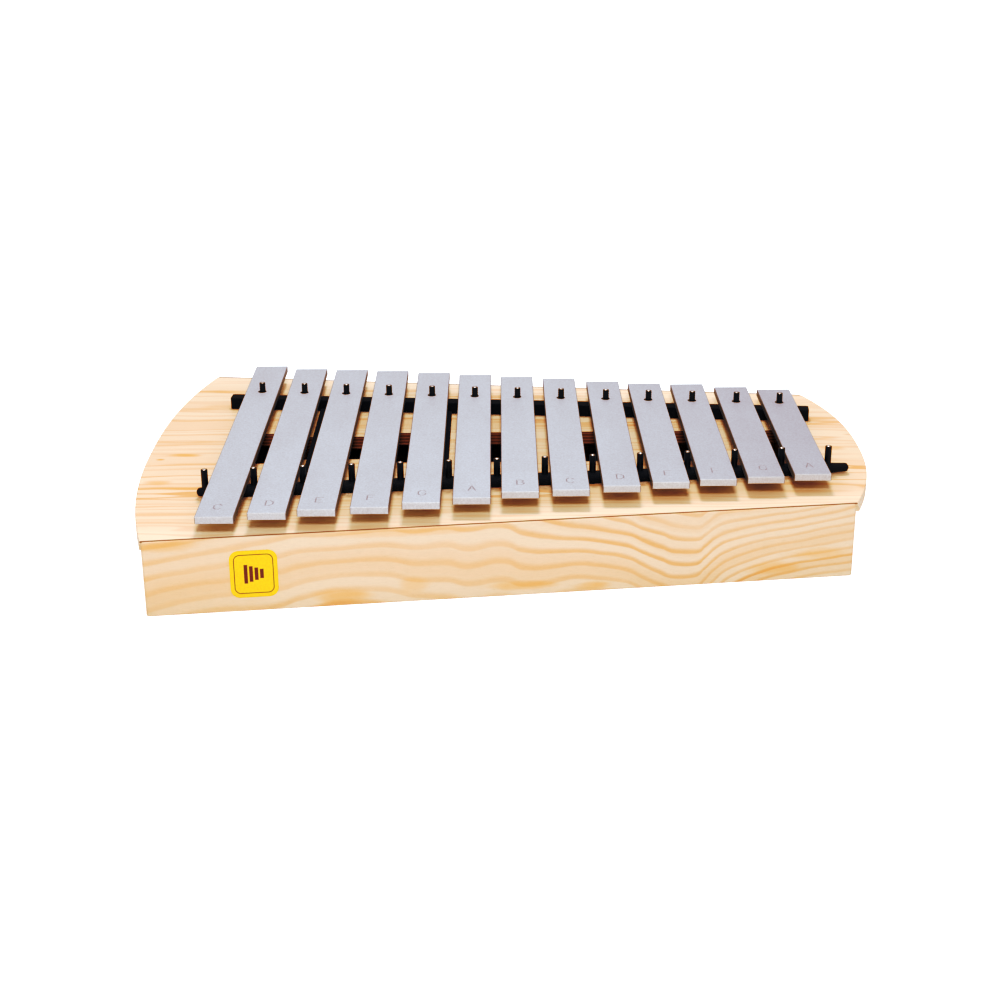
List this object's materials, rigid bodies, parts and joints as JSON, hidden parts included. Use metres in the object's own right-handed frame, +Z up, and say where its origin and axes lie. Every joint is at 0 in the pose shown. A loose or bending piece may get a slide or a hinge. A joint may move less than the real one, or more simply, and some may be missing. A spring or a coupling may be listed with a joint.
{
  "type": "metallophone",
  "caption": "Tabletop metallophone: loose flat metal bars held by pins on a black rail and cord, over a tapered pine resonator box with bowed ends.",
  "frame": {"origin": "under the middle of the box, on the surface that it stands on", "axes": "+X towards the short, high bars, +Y away from the player, +Z up"},
  "size_m": [0.5114, 0.3448, 0.0735],
  "materials": {
    "bar_metal": "matte",
    "box_wood": "satin",
    "plate_wood": "satin",
    "panel_wood": "matte",
    "black_rubber": "matte",
    "black_felt": "matte",
    "black_sleeve": "satin",
    "steel": "satin",
    "yellow_label": "gloss"
  },
  "bodies": {
    "box": {"front_board": "box_wood", "back_board": "box_wood", "left_end_board": "box_wood", "right_end_board": "box_wood", "top_plate": "plate_wood", "bottom_panel": "panel_wood", "partition_1": "panel_wood", "partition_2": "panel_wood", "partition_3": "panel_wood", "partition_4": "panel_wood", "partition_5": "panel_wood", "partition_6": "panel_wood", "corner_blocks": "panel_wood", "panel_screws": "steel", "back_rail": "black_rubber", "front_cord": "black_rubber", "cord_staples": "steel", "left_strip": "black_felt", "right_strip": "black_felt", "back_pins": "steel", "back_pin_sleeves": "black_sleeve", "front_pins": "steel", "front_pin_sleeves": "black_sleeve", "label": "yellow_label"},
    "tone_bar_01": {"bar_01": "bar_metal"},
    "tone_bar_02": {"bar_02": "bar_metal"},
    "tone_bar_03": {"bar_03": "bar_metal"},
    "tone_bar_04": {"bar_04": "bar_metal"},
    "tone_bar_05": {"bar_05": "bar_metal"},
    "tone_bar_06": {"bar_06": "bar_metal"},
    "tone_bar_07": {"bar_07": "bar_metal"},
    "tone_bar_08": {"bar_08": "bar_metal"},
    "tone_bar_09": {"bar_09": "bar_metal"},
    "tone_bar_10": {"bar_10": "bar_metal"},
    "tone_bar_11": {"bar_11": "bar_metal"},
    "tone_bar_12": {"bar_12": "bar_metal"},
    "tone_bar_13": {"bar_13": "bar_metal"}
  },
  "joints": [
    {"name": "bar_01_lift", "type": "slide", "parent": "box", "child": "tone_bar_01", "axis": [0, 0, 1], "range_m": [0, 0.03]},
    {"name": "bar_02_lift", "type": "slide", "parent": "box", "child": "tone_bar_02", "axis": [0, 0, 1], "range_m": [0, 0.03]},
    {"name": "bar_03_lift", "type": "slide", "parent": "box", "child": "tone_bar_03", "axis": [0, 0, 1], "range_m": [0, 0.03]},
    {"name": "bar_04_lift", "type": "slide", "parent": "box", "child": "tone_bar_04", "axis": [0, 0, 1], "range_m": [0, 0.03]},
    {"name": "bar_05_lift", "type": "slide", "parent": "box", "child": "tone_bar_05", "axis": [0, 0, 1], "range_m": [0, 0.03]},
    {"name": "bar_06_lift", "type": "slide", "parent": "box", "child": "tone_bar_06", "axis": [0, 0, 1], "range_m": [0, 0.03]},
    {"name": "bar_07_lift", "type": "slide", "parent": "box", "child": "tone_bar_07", "axis": [0, 0, 1], "range_m": [0, 0.03]},
    {"name": "bar_08_lift", "type": "slide", "parent": "box", "child": "tone_bar_08", "axis": [0, 0, 1], "range_m": [0, 0.03]},
    {"name": "bar_09_lift", "type": "slide", "parent": "box", "child": "tone_bar_09", "axis": [0, 0, 1], "range_m": [0, 0.03]},
    {"name": "bar_10_lift", "type": "slide", "parent": "box", "child": "tone_bar_10", "axis": [0, 0, 1], "range_m": [0, 0.03]},
    {"name": "bar_11_lift", "type": "slide", "parent": "box", "child": "tone_bar_11", "axis": [0, 0, 1], "range_m": [0, 0.03]},
    {"name": "bar_12_lift", "type": "slide", "parent": "box", "child": "tone_bar_12", "axis": [0, 0, 1], "range_m": [0, 0.03]},
    {"name": "bar_13_lift", "type": "slide", "parent": "box", "child": "tone_bar_13", "axis": [0, 0, 1], "range_m": [0, 0.03]}
  ]
}
